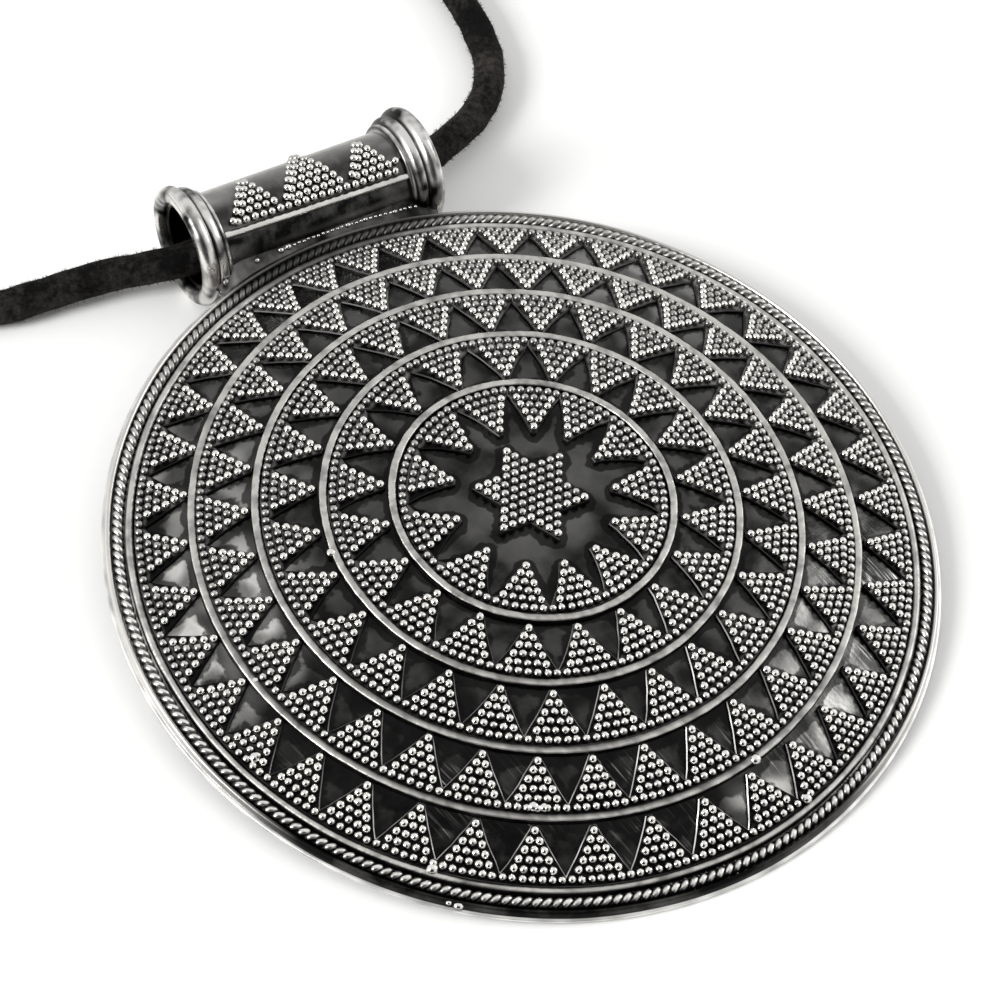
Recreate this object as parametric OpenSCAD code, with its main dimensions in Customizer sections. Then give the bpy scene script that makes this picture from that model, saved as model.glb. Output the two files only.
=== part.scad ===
// Round silver pendant with tiers of sawtooth sheets, lying on a surface with its cord threaded
// through the tube bail and closed by a barrel clasp. Millimetres, +Z up, +Y towards the bail.

/* [Disc] */
// Radius of the rim at the back plane
rim_r = 35; // [35:0.1:36]
// Height of the rim's ridge above the back plane
rim_h = 1.05; // [0.9:0.05:1.2]
// Thickness of each sawtooth sheet
sheet_t = 0.25; // [0.15:0.05:0.4]
// Width of a ring wire
wire_w = 0.5; // [0.3:0.05:0.7]
// Diameter of the twisted rope round the border
rope_d = 0.86; // [0.7:0.02:0.9]
// Diameter of the plain wire inside the rope
plain_wire_d = 0.56; // [0.4:0.02:0.6]

/* [Star] */
// Distance between neighbouring grains of the centre star
star_pitch = 0.836; // [0.7:0.002:0.85]
// Azimuth of one tip of the star
star_turn = -32.6; // [-60:0.1:60]

/* [Bail] */
// Length of the bail tube from lip to lip
bail_len = 23.6; // [20:0.1:28]
// Outer radius of the plain stretch of the tube
tube_r = 4.14; // [4.1:0.02:4.2]
// Wall thickness of the tube
tube_wall = 0.49; // [0.3:0.01:0.5]
// Distance of the tube's middle from the disc's axis, across the disc
bail_shift = -0.44; // [-2:0.02:2]
// Outer radius of the thick bead at each end of the tube
collar_r = 5.25; // [5.2:0.01:5.4]

/* [Cord] */
// Diameter of the leather cord
cord_d = 3; // [2:0.1:3]
// Outer diameter of the barrel clasp
clasp_d = 4.5; // [4.2:0.1:4.6]
// Length of the barrel clasp
clasp_len = 16; // [15.5:0.1:16]

/* [Hidden] */
$fn = 96;

// Surface of the domed plate: radius, height above the back
PLATE = [[0, 5.45], [6, 5.4], [11.89, 5.17], [17.42, 4.65], [22.84, 3.66], [27.9, 2.2], [32.3, 0.65]];
// Ring wires from the inside out: outer radius, height of the top above the back
RINGS = [[11.89, 5.8], [17.42, 5.25], [22.84, 4.28], [27.9, 2.9]];
// Sawtooth sheets from the inside out: teeth, radius of the tip grain, radius of the base row,
// azimuth of the first tooth, then the drift of the hand-laid spacing as three waves round the
// ring, each a swing and a lag in degrees
BANDS = [
  [13, 6.9, 10.74, -21.1, 4.3, -160, 2.9, -1, 0, 0],
  [20, 12.56, 16.35, -34.7, 2.7, 155, 1.3, -82, 0.8, 47],
  [27, 18.04, 21.75, -36.4, 0.4, 114, 0.1, -158, 0.3, -45],
  [34, 23.37, 26.9, -35.5, 0.1, -61, 0.1, 48, 0.3, -17],
  [40, 28.5, 32, -38.8, 1.1, -11, 1.1, 83, 1, -175],
];
// The tiers inside the widest ring wire sit slightly off the rim's centre
dome_shift = [-0.19, 0.16];
star_shift = [-0.27, 0.44];
// Sheet left outside the base row, inside the tip grain and between the base row and a valley
base_margin = 0.42;
tip_margin = 0.45;
valley_margin = 0.4;
// Half the width of a tooth's blunt tip
tip_half_w = 0.25;
// How deep a sheet reaches into what it is soldered on
sink = 0.2;

// Beads at each end of the bail: distance of the middle from the lip, bead radius, outer radius
COLLAR = [[0.6, 0.6, 5.05], [1.6, 0.6, collar_r], [2.45, 0.3, 4.7]];
collar_len = 2.8;
collar_step = 0.1;
bore_r = tube_r - tube_wall;
bail_y = rim_r + tube_r;
bail_z = 0.6;
// Wire along the tube: angle above the horizontal on the disc's side, and how far off straight
bail_wire_angle = 47.5;
bail_wire_skew = 1.5;
bail_wire_d = 0.6;
bail_wire_len = 18.8;
// Solder seat between rim and tube: length, depth under the rim, reach into the tube wall, height
seat = [15, 2, 0.35, 1.2];
seat_z = 0.15;

// The pendant lies on the near edge of its rim and on the two end beads of the bail
rest_r = rim_r - 0.15;
rest_span = norm([rest_r + bail_y, bail_z]);
lie_tilt = asin(collar_r / rest_span) - atan2(bail_z, rest_r + bail_y);
lie_z = rest_r * sin(lie_tilt);
bail_far_y = bail_y * cos(lie_tilt) - bail_z * sin(lie_tilt) + collar_r;
lie_y = (rim_r * cos(lie_tilt) - bail_far_y) / 2;

// The cord's route on the surface and through the bore, from the clasp round to the clasp
ROUTE = [
  [6.7, 159, 2.3], [14, 158.9, 2], [22.5, 157, 1.65], [29, 151.9, 1.55], [32.6, 144.5, 1.55],
  [33.3, 136, 1.55], [30.5, 125.5, 1.55], [25.8, 115, 1.55], [24.8, 104, 1.55], [28.6, 92.5, 1.55],
  [32.3, 81.5, 1.55], [31.6, 69, 1.55], [29.5, 58, 1.55], [28.5, 51, 1.55], [26.5, 45.5, 1.55],
  [22.5, 41, 1.7], [17, 38, 2.4], [11.5, 35.6, 3.6], [5, 34.6, 3.6], [-1, 34.4, 3.5], [-7, 34.4, 3.5],
  [-12.5, 35, 3.2], [-17.5, 36.8, 2.2], [-23, 37.8, 1.65], [-27.8, 38.2, 1.55], [-31.8, 40, 1.55],
  [-34.3, 43.7, 1.55], [-35, 50, 1.55], [-32.7, 60, 1.55], [-27.8, 71, 1.55], [-26, 83, 1.55],
  [-28.8, 95, 1.55], [-33.3, 106.5, 1.55], [-35, 119, 1.55], [-34.6, 131.5, 1.55], [-33.8, 143.5, 1.55],
  [-29.6, 153.2, 1.55], [-22.2, 158.2, 1.65], [-16, 159, 1.95], [-9.3, 159, 2.3],
];
cord_sides = 8;
// Clearance between the clasp and each end of the cord
clasp_gap = 0.12;
// Length of the clasp's end bands, and how much thinner it is between them
clasp_band = 3;
clasp_waist = 0.5;

function plate_z(r) = lookup(r, PLATE);

function on_circle(r, azimuth) = [r * cos(azimuth), r * sin(azimuth)];

// Azimuth of tooth i of a sawtooth sheet
function tooth_azimuth(band, i) =
  let (turn = 360 * i / band[0])
  band[3] + turn + band[4] * sin(turn - band[5]) + band[6] * sin(2 * turn - band[7])
  + band[8] * sin(3 * turn - band[9]);

// Inner edge of a sawtooth sheet: a blunt tip, then the valley before the next tooth
function tooth_line(band) =
  let (tip_r = band[1] - tip_margin, valley_r = band[2] - valley_margin)
  let (blunt = tip_half_w / tip_r * 180 / PI)
  [for (i = [0 : band[0] - 1])
    let (here = tooth_azimuth(band, i), next = tooth_azimuth(band, i + 1))
    each [
      on_circle(tip_r, here - blunt),
      on_circle(tip_r, here + blunt),
      on_circle(valley_r, (here + next) / 2),
    ]
  ];

// Section of the dome: the plate with each ring wire standing on it
function dome_section() =
  let (last = RINGS[len(RINGS) - 1][0])
  [
    [0, 0], [0, PLATE[0][1]], PLATE[1],
    for (ring = RINGS)
      each [
        [ring[0] - wire_w, plate_z(ring[0] - wire_w)],
        [ring[0] - wire_w, ring[1]],
        [ring[0], ring[1]],
        [ring[0], plate_z(ring[0]) - sheet_t],
      ],
    [last, 0],
  ];

// Section of the outermost plate and the rim
function rim_section() =
  let (inner = RINGS[len(RINGS) - 1][0] - 1, plate_edge = PLATE[len(PLATE) - 1])
  [
    [inner, 0], [inner, plate_z(inner) - 2 * sink], [inner + 1, plate_z(inner + 1)],
    plate_edge, [rim_r - 1.8, 0.6], [rim_r - 0.8, 0.45], [rim_r - 0.62, rim_h - 0.1],
    [rim_r - 0.5, rim_h], [rim_r - 0.2, rim_h - 0.05], [rim_r - 0.05, rim_h / 2],
    [rim_r, 0.15], [rest_r, 0],
  ];

module dome() {
  translate(dome_shift) rotate_extrude() polygon(dome_section());
}

module rim() {
  rotate_extrude() polygon(rim_section());
}

module ring_of_wire(r, z, d) {
  rotate_extrude() translate([r, z]) circle(d = d);
}

module border() {
  ring_of_wire(rim_r - 2.2, 0.9, plain_wire_d);
  ring_of_wire(rim_r - 1.28, 0.8, rope_d);
}

module saw_sheet(band) {
  inner = band[1] - 2 * tip_margin;
  outer = band[2] + base_margin;
  difference() {
    rotate_extrude() polygon([
      [inner, plate_z(inner) - sink], [outer, plate_z(outer) - sink],
      [outer, plate_z(outer) + sheet_t], [inner, plate_z(inner) + sheet_t],
    ]);
    linear_extrude(PLATE[0][1] + 1) polygon(tooth_line(band));
  }
}

module star_sheet() {
  tip = star_pitch * 3 * sqrt(3) + 2 * sheet_t;
  notch = tip / sqrt(3);
  outline = [for (i = [0 : 11]) on_circle(i % 2 == 0 ? tip : notch, star_turn + 30 * i)];
  translate([star_shift[0], star_shift[1], PLATE[0][1] - sink])
    linear_extrude(sink + sheet_t) polygon(outline);
}

// Outer radius of the bail at distance s from its lip
function bail_outer(s) = max([
  tube_r,
  for (bead = COLLAR)
    let (off = abs(s - bead[0]))
    if (off <= bead[1]) bead[2] - bead[1] + sqrt(pow(bead[1], 2) - pow(off, 2))
]);

// Inner radius of the rounded lip at distance s from its edge
function lip_inner(s) =
  let (lip = COLLAR[0])
  lip[2] - lip[1] - sqrt(pow(lip[1], 2) - pow(s - lip[0], 2));

function mirrored(points) = [for (i = [len(points) - 1 : -1 : 0]) [points[i][0], -points[i][1]]];

// Half section of the bail: radius, place along its axis
function bail_section() =
  let (end = bail_len / 2, lip_mid = COLLAR[0][0], bore_end = end - lip_mid - collar_step)
  let (outside = [for (s = [0 : collar_step : collar_len]) [bail_outer(s), s - end]])
  let (inside = [for (s = [lip_mid : -collar_step : collar_step / 2]) [lip_inner(s), s - end]])
  concat(outside, mirrored(outside), mirrored(inside), [[bore_r, bore_end], [bore_r, -bore_end]], inside);

// The bail with its axis along X and its middle at the origin
module bail() {
  rotate([0, 90, 0]) rotate_extrude() polygon(bail_section());
  rotate([-bail_wire_angle, 0, 0]) translate([0, -tube_r, 0])
    rotate([0, 90 + bail_wire_skew, 0]) cylinder(d = bail_wire_d, h = bail_wire_len, center = true);
}

module bail_seat() {
  translate([-seat[0] / 2, rim_r - seat[1], seat_z])
    cube([seat[0], seat[1] + seat[2], seat[3] - seat_z]);
}

// Everything of soldered metal, with its flat back on the plane z = 0
module metal() {
  dome();
  rim();
  border();
  for (i = [0 : len(BANDS) - 2]) translate(dome_shift) saw_sheet(BANDS[i]);
  saw_sheet(BANDS[len(BANDS) - 1]);
  star_sheet();
  translate([bail_shift, bail_y, bail_z]) bail();
  bail_seat();
}

module pendant() {
  color("silver") translate([0, lie_y, lie_z]) rotate([lie_tilt, 0, 0]) metal();
}

function unit(v) = v / norm(v);

// Point between route points i and i + 1 on a smooth curve through them all
function smooth_point(i, t) =
  let (last = len(ROUTE) - 1, b = ROUTE[i], c = ROUTE[i + 1])
  let (a = i > 0 ? ROUTE[i - 1] : 2 * b - c, d = i + 2 <= last ? ROUTE[i + 2] : 2 * c - b)
  (2 * b + (c - a) * t + (2 * a - 5 * b + 4 * c - d) * t * t + (3 * b - a - 3 * c + d) * t * t * t) / 2;

function cord_line() = [
  for (i = [0 : len(ROUTE) - 2]) each [ROUTE[i], smooth_point(i, 0.5)],
  ROUTE[len(ROUTE) - 1],
];

// One ring of points round the line, square to it, with one side upright
function cord_ring(line, i) =
  let (along = unit(line[min(i + 1, len(line) - 1)] - line[max(i - 1, 0)]))
  let (side = unit(cross([0, 0, 1], along)), up = cross(along, side))
  [for (k = [0 : cord_sides - 1])
    let (turn = 360 * k / cord_sides)
    line[i] + cord_d / 2 * (cos(turn) * side + sin(turn) * up)];

module cord() {
  line = cord_line();
  rings = len(line);
  points = [for (i = [0 : rings - 1]) each cord_ring(line, i)];
  walls = [
    for (i = [0 : rings - 2])
      for (k = [0 : cord_sides - 1])
        let (next = (k + 1) % cord_sides)
        [i * cord_sides + k, i * cord_sides + next, (i + 1) * cord_sides + next, (i + 1) * cord_sides + k]
  ];
  start = [for (k = [cord_sides - 1 : -1 : 0]) k];
  end = [for (k = [0 : cord_sides - 1]) (rings - 1) * cord_sides + k];
  color([0.05, 0.05, 0.05]) polyhedron(points, concat([start], walls, [end]));
}

// Barrel clasp between the cord's two ends: a plain barrel with a band at each end
module clasp() {
  length = clasp_len - 2 * clasp_gap;
  translate(ROUTE[len(ROUTE) - 1] + [clasp_gap, 0, 0]) rotate([0, 90, 0]) color("silver") {
    cylinder(d = clasp_d - clasp_waist, h = length);
    for (z = [0, length - clasp_band]) translate([0, 0, z]) cylinder(d = clasp_d, h = clasp_band);
  }
}

pendant();
cord();
clasp();
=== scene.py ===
# Round silver pendant on a black leather cord: the looks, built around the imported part.
import math
import random

import bmesh
import bpy
from mathutils import Euler, Matrix, Vector, geometry, kdtree, noise


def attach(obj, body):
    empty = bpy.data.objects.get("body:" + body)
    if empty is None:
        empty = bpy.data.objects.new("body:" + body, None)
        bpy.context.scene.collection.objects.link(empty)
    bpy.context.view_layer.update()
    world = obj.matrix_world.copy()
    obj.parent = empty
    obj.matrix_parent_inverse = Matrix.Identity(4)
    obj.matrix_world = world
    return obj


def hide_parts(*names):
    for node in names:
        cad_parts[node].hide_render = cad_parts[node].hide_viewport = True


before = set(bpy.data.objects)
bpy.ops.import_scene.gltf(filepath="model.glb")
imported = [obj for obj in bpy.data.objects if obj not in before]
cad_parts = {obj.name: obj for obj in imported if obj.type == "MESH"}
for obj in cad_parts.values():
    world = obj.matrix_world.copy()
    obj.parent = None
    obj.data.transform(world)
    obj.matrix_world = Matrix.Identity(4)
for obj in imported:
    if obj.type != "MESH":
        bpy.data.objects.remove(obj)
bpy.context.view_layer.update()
print("frame loaded")

# Lengths below are millimetres; a piece is made metres as it is finished.
mm = 0.001
merge = 0.0001
# Chance and noise give the same handwork every run.
chance = 41
steady = random.Random(chance)
noise.seed_set(chance)

# The camera stands where the photo's camera stood.
view = {
    "place": (-77.893, -100.305, 164.745),
    "right": (0.85198, -0.51565, 0.09074),
    "up": (0.36289, 0.70651, 0.60758),
    "forward": (0.37741, 0.48472, -0.78906),
    "lens": 88.335, "sensor": 36, "clip": (5, 20000),
}


def addObject(name, data):
    made = bpy.data.objects.new(name, data)
    bpy.context.scene.collection.objects.link(made)
    return made


def placeCamera():
    data = bpy.data.cameras.new("camera")
    data.lens = view["lens"]
    data.sensor_width = view["sensor"]
    near, far = view["clip"]
    data.clip_start = near * mm
    data.clip_end = far * mm
    camera = addObject("camera", data)
    turn = Matrix((view["right"], view["up"], -Vector(view["forward"]))).transposed()
    camera.matrix_world = Matrix.Translation(Vector(view["place"]) * mm) @ turn.to_4x4()
    bpy.context.scene.camera = camera


placeCamera()
print("camera placed")


# One sRGB hex value as linear colour.
def hexColour(text):
    parts = [int(text[i:i + 2], 16) / 255 for i in (0, 2, 4)]
    return [c / 12.92 if c <= 0.04045 else ((c + 0.055) / 1.055) ** 2.4 for c in parts] + [1]


# Fills a node's inputs: a socket, or a node for its first output, is linked, and anything else is
# a value.
def fillInputs(tree, node, inputs):
    for name, value in inputs.items():
        if isinstance(value, bpy.types.Node):
            value = value.outputs[0]
        if isinstance(value, bpy.types.NodeSocket):
            tree.links.new(value, node.inputs[name])
        else:
            node.inputs[name].default_value = value


def addNode(tree, kind, inputs, **settings):
    node = tree.nodes.new("ShaderNode" + kind)
    for name, value in settings.items():
        setattr(node, name, value)
    fillInputs(tree, node, inputs)
    return node


# A pattern's scale, from the size of one of its spots in millimetres.
def scaleFor(size):
    return 1 / (size * mm)


def newMaterial(name):
    material = bpy.data.materials.new(name)
    material.use_nodes = True
    tree = material.node_tree
    place = addNode(tree, "TexCoord", {}).outputs["Object"]
    return material, tree, tree.nodes["Principled BSDF"], place


# Black suede leather: a dry napped surface, so no gloss, and a soft grey where the nap lifts. Its
# fibres are drawn coarser than they are, so that they show.
suede = {
    "fibres": 0.714, "patches": 5.556,
    "black": (0.2, "070606"), "lifted": (0.42, "3a3733"),
    "bump": (0.6, 0.15), "rough": 0.95, "shine": 0.15,
}


def suedeLeather():
    material, tree, shader, place = newMaterial("suedeLeather")
    fibres = addNode(tree, "TexNoise", {
        "Vector": place, "Scale": scaleFor(suede["fibres"]), "Detail": 6, "Roughness": 0.7,
    })
    patches = addNode(tree, "TexNoise", {"Vector": place, "Scale": scaleFor(suede["patches"]), "Detail": 3})
    both = addNode(tree, "Math", {0: fibres, 1: patches}, operation="MULTIPLY")
    colour = addNode(tree, "ValToRGB", {"Fac": both})
    for stop, (at, tone) in zip(colour.color_ramp.elements, (suede["black"], suede["lifted"])):
        stop.position = at
        stop.color = hexColour(tone)
    strength, deep = suede["bump"]
    bump = addNode(tree, "Bump", {"Height": fibres, "Strength": strength, "Distance": deep * mm})
    fillInputs(tree, shader, {
        "Base Color": colour, "Normal": bump, "Roughness": suede["rough"],
        "Specular IOR Level": suede["shine"],
    })
    return material


# How the pendant lies on the surface: degrees and millimetres, as in the part's source.
lie = {"tilt": 3.60413, "up": 2.19075, "along": -4.67205}
toRest = (
    Matrix.Scale(mm, 4)
    @ Matrix.Translation((0, lie["along"], lie["up"]))
    @ Matrix.Rotation(math.radians(lie["tilt"]), 4, "X")
)


# Oxidised silver: liver of sulphur turns it nearly black, and rubbing brings the high places
# back. The attribute that a finish goes by says how far each place is rubbed, and it also holds
# painted light and shade. Haze is painted light that lifts the black toward the bail, and dull is
# how much of the shine is dimmed there, a painted shade. Grit is the size of its pits, drawn coarse
# enough to show, and how strong they look. The two values of rough are for the black and for the
# bare metal.
plainFinish = {"by": "polishAndLight", "smudge": 0, "haze": 0, "dull": 0}
silverDesign = {
    "plate": {
        "dark": "161616", "bare": "c9c8c4", "rough": (0.24, 0.36), "smudge": 0.06, "grit": (0.769, 0.5),
    },
    "sheet": {
        "dark": "161616", "bare": "b9b8b4", "rough": (0.42, 0.4), "smudge": 0.03, "haze": 0.8,
        "grit": (1.111, 0.3),
    },
    "raised": {
        "dark": "141414", "bare": "e8e6e1", "rough": (0.45, 0.3), "smudge": 0.06, "haze": 0.07,
        "dull": 0.1, "grit": (1.111, 0.3),
    },
    "wire": {
        "dark": "141414", "bare": "cfcdc8", "rough": (0.5, 0.42), "smudge": 0.06, "haze": 0.12,
        "dull": 0.1, "grit": (0.4545, 0.6),
    },
    "grain": {
        "dark": "0e0e0e", "bare": "f2f0eb", "rough": (0.4, 0.16), "haze": 0.3, "dull": 0.35,
        "grit": (0.625, 0.35),
    },
    "rope": {
        "dark": "121212", "bare": "f2f0eb", "rough": (0.5, 0.2), "haze": 0.3, "dull": 0.5,
        "grit": (0.625, 0.35),
    },
    "bail": {
        "dark": "181818", "bare": "e2e0dc", "rough": (0.36, 0.24), "smudge": 0.14, "grit": (1.4286, 0.3),
    },
    "edge": {
        "by": "cut", "dark": "161616", "bare": "f7f6f3", "rough": (0.45, 0.42), "haze": 0.06,
        "grit": (1.111, 0.2),
    },
}
gritDeep = 0.08
# Painted light and shade are laid along one way across the disc, toward the bail and away from
# the foot. The entries give which way that is, the distances from the middle of the disc over which
# the painted haze grows, and where the painted shade toward the foot begins and is full.
paintedLightAxis = {"towards": (0.614, 0.789, 0), "from": -32, "to": 40, "foot": (4, 26)}
scratches = {
    "azimuth": -75, "long": 4, "apart": 0.2, "lines": (0.55, 0.72), "patch": 6.667, "where": (0.46, 0.62),
}
smudges = {"size": 2.381, "where": (0.45, 0.75)}
soot = {"edge": (0.4, 0.56), "ragged": 0.6, "size": 1.667, "left": 0.2}


# Fine parallel scratches in patches, as strong as the filed attribute says.
def hatchLines(tree, place):
    long, apart = scratches["long"] * mm, scratches["apart"] * mm
    stretched = addNode(tree, "Mapping", {
        "Vector": place, "Rotation": (0, 0, math.radians(scratches["azimuth"])),
        "Scale": (long, apart, long),
    }, vector_type="TEXTURE")
    hatch = addNode(tree, "TexNoise", {"Vector": stretched, "Scale": 1, "Detail": 2})
    patch = addNode(tree, "TexNoise", {"Vector": place, "Scale": scaleFor(scratches["patch"]), "Detail": 2})
    drawn = addNode(tree, "Attribute", {}, attribute_name="filed").outputs["Fac"]
    for pattern, (low, high) in ((hatch, scratches["lines"]), (patch, scratches["where"])):
        share = addNode(tree, "MapRange", {"Value": pattern, "From Min": low, "From Max": high})
        drawn = addNode(tree, "Math", {0: drawn, 1: share}, operation="MULTIPLY")
    return drawn


# Soot stays along the seams, with an uneven edge. The clearance attribute is the millimetres to
# the nearest seam, shortened on the foot's side by a painted shadow.
def sootFree(tree, place):
    clearance = addNode(tree, "Attribute", {}, attribute_name="clearance").outputs["Fac"]
    ragged = addNode(tree, "TexNoise", {"Vector": place, "Scale": scaleFor(soot["size"]), "Detail": 4})
    swing = soot["ragged"]
    shift = addNode(tree, "MapRange", {"Value": ragged, "To Min": -swing, "To Max": swing})
    far = addNode(tree, "Math", {0: clearance, 1: shift}, operation="ADD")
    low, high = soot["edge"]
    return addNode(tree, "MapRange", {
        "Value": far, "From Min": low, "From Max": high, "To Min": soot["left"],
    }, interpolation_type="SMOOTHSTEP")


# Painted haze and shade: painted light lifts the black, and the shine is dimmed toward the bail.
def paintedHazeAndDimming(tree, place, total, design):
    away = addNode(tree, "VectorMath", {0: place, 1: paintedLightAxis["towards"]}, operation="DOT_PRODUCT")
    share = addNode(tree, "MapRange", {
        "Value": away.outputs["Value"], "From Min": paintedLightAxis["from"] * mm, "From Max": paintedLightAxis["to"] * mm,
    }, interpolation_type="SMOOTHSTEP")
    kept = addNode(tree, "Math", {0: share, 1: -design["dull"], 2: 1}, operation="MULTIPLY_ADD")
    left = addNode(tree, "Math", {0: total, 1: kept}, operation="MULTIPLY")
    return addNode(tree, "Math", {0: share, 1: design["haze"], 2: left}, operation="MULTIPLY_ADD")


def oxidisedSilver(finish):
    design = {**plainFinish, **silverDesign[finish]}
    material, tree, shader, place = newMaterial("oxidisedSilver" + finish.capitalize())
    total = addNode(tree, "Attribute", {}, attribute_name=design["by"]).outputs["Fac"]
    if design["smudge"]:
        cloud = addNode(tree, "TexNoise", {
            "Vector": place, "Scale": scaleFor(smudges["size"]), "Detail": 5, "Roughness": 0.6,
        })
        low, high = smudges["where"]
        smudge = addNode(tree, "MapRange", {
            "Value": cloud, "From Min": low, "From Max": high, "To Max": design["smudge"],
        })
        total = addNode(tree, "Math", {0: total, 1: smudge}, operation="ADD")
    if finish == "plate":
        total = addNode(tree, "Math", {0: total, 1: hatchLines(tree, place)}, operation="ADD")
        total = addNode(tree, "Math", {0: total, 1: sootFree(tree, place)}, operation="MULTIPLY")
    if design["haze"]:
        total = paintedHazeAndDimming(tree, place, total, design)
    colour = addNode(tree, "ValToRGB", {"Fac": total})
    for stop, tone in zip(colour.color_ramp.elements, (design["dark"], design["bare"])):
        stop.color = hexColour(tone)
    black, bare = design["rough"]
    size, strength = design["grit"]
    grit = addNode(tree, "TexNoise", {"Vector": place, "Scale": scaleFor(size), "Detail": 3})
    fillInputs(tree, shader, {
        "Base Color": colour,
        "Roughness": addNode(tree, "MapRange", {"Value": total, "To Min": black, "To Max": bare}),
        "Normal": addNode(tree, "Bump", {"Height": grit, "Strength": strength, "Distance": gritDeep * mm}),
        "Metallic": 1,
    })
    return material


silver = {finish: oxidisedSilver(finish) for finish in silverDesign}


# Turned silver: bright and smooth, with the light swirls of a polishing wheel.
turned = {"swirl": 2.5, "rough": (0.18, 0.4), "bare": "d9d6d0"}


def turnedSilver():
    material, tree, shader, place = newMaterial("turnedSilver")
    swirl = addNode(tree, "TexNoise", {"Vector": place, "Scale": scaleFor(turned["swirl"]), "Detail": 4})
    low, high = turned["rough"]
    fillInputs(tree, shader, {
        "Base Color": hexColour(turned["bare"]),
        "Roughness": addNode(tree, "MapRange", {"Value": swirl, "To Min": low, "To Max": high}),
        "Metallic": 1,
    })
    return material


# A turn that points a shape's own Z axis along a direction.
def facing(way):
    return Vector(way).to_track_quat("Z", "Y").to_matrix().to_4x4()


# Every finished piece: metres, outward faces, its material, and the body that it rides on.
def finishPiece(name, bm, material, matrix, sharp=35):
    bmesh.ops.transform(bm, matrix=matrix, verts=bm.verts)
    bmesh.ops.recalc_face_normals(bm, faces=bm.faces)
    for face in bm.faces:
        face.smooth = True
    mesh = bpy.data.meshes.new(name)
    bm.to_mesh(mesh)
    bm.free()
    mesh.set_sharp_from_angle(angle=math.radians(sharp))
    mesh.materials.append(material)
    piece = addObject(name, mesh)
    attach(piece, "root")
    return piece


# A silver piece takes the place of its part of the pendant. Plate and sheet have cut edges.
def finishSilver(name, bm, finish, matrix=toRest, sharp=60):
    piece = finishPiece(name, bm, silver[finish], matrix, sharp)
    if finish in ("plate", "sheet"):
        piece.data.materials.append(silver["edge"])
    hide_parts("pendant")


# Moves one mesh in the making into another.
def addTo(whole, bm):
    mesh = bpy.data.meshes.new("part")
    bm.to_mesh(mesh)
    bm.free()
    whole.from_mesh(mesh)
    bpy.data.meshes.remove(mesh)


# Turns a section of (radius, height) points round the Z axis.
def spinSection(section, steps, closed=True):
    bm = bmesh.new()
    corners = [bm.verts.new((r, 0, z)) for r, z in section]
    sides = [bm.edges.new(pair) for pair in zip(corners, corners[1:])]
    if closed:
        sides.append(bm.edges.new((corners[-1], corners[0])))
    bmesh.ops.spin(
        bm, geom=corners + sides, cent=(0, 0, 0), axis=(0, 0, 1), angle=2 * math.pi,
        steps=steps, use_merge=True,
    )
    bmesh.ops.remove_doubles(bm, verts=bm.verts, dist=merge)
    return bm


# A curve, as a mesh to work on.
def meshFrom(curve):
    holder = bpy.data.objects.new(curve.name, curve)
    mesh = bpy.data.meshes.new_from_object(holder)
    bpy.data.objects.remove(holder)
    bm = bmesh.new()
    bm.from_mesh(mesh)
    return bm


barrelClasp = {
    "start": (-9.3, 159, 2.3), "gap": 0.12,
    "length": 15.76, "radius": 2.25, "waist": 2.0, "band": 3,
    "round": 0.3, "soften": 0.3, "bore": 1.6, "steps": 48,
}


def buildClasp():
    c = barrelClasp
    edge = c["round"]
    soft = edge * c["soften"]
    half = [
        (c["bore"], 0), (c["radius"] - edge, 0), (c["radius"] - soft, soft), (c["radius"], edge),
        (c["radius"], c["band"] - edge), (c["radius"] - soft, c["band"] - soft), (c["waist"], c["band"]),
    ]
    other = [(r, c["length"] - z) for r, z in reversed(half)]
    bm = spinSection(half + other, c["steps"])
    at = Vector(c["start"]) + Vector((c["gap"], 0, 0))
    lay = Matrix.Scale(mm, 4) @ Matrix.Translation(at) @ Matrix.Rotation(math.radians(90), 4, "Y")
    piece = finishPiece("barrelClasp", bm, turnedSilver(), lay)
    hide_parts("clasp")
    return piece


leatherCord = {
    "diameter": 3,
    "length": 0.338,  # metres, like the exit
    "exit": (0.0067, 0.159, 0.0023),
    "sides": 6, "rings": 24, "pathRings": 13, "lumps": (2.5, 0.16),
    "nap": {
        "count": 9600, "above": 0.9, "batch": 16, "long": (0.12, 0.45), "thick": 0.035, "lean": 0.9,
        "aside": 0.3, "seated": 0.4,
    },
    "route": [
        (6.7, 159, 2.3), (14, 158.9, 2), (22.5, 157, 1.65), (29, 151.9, 1.55), (32.6, 144.5, 1.55),
        (33.3, 136, 1.55), (30.5, 125.5, 1.55), (25.8, 115, 1.55), (24.8, 104, 1.55), (28.6, 92.5, 1.55),
        (32.3, 81.5, 1.55), (31.6, 69, 1.55), (29.5, 58, 1.55), (28.5, 51, 1.55), (26.5, 45.5, 1.55),
        (22.5, 41, 1.7), (17, 38, 2.4), (11.5, 35.6, 3.6), (5, 34.6, 3.6), (-1, 34.4, 3.5), (-7, 34.4, 3.5),
        (-12.5, 35, 3.2), (-17.5, 36.8, 2.2), (-23, 37.8, 1.65), (-27.8, 38.2, 1.55), (-31.8, 40, 1.55),
        (-34.3, 43.7, 1.55), (-35, 50, 1.55), (-32.7, 60, 1.55), (-27.8, 71, 1.55), (-26, 83, 1.55),
        (-28.8, 95, 1.55), (-33.3, 106.5, 1.55), (-35, 119, 1.55), (-34.6, 131.5, 1.55),
        (-33.8, 143.5, 1.55), (-29.6, 153.2, 1.55), (-22.2, 158.2, 1.65), (-16, 159, 1.95),
        (-9.3, 159, 2.3),
    ],
}


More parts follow.
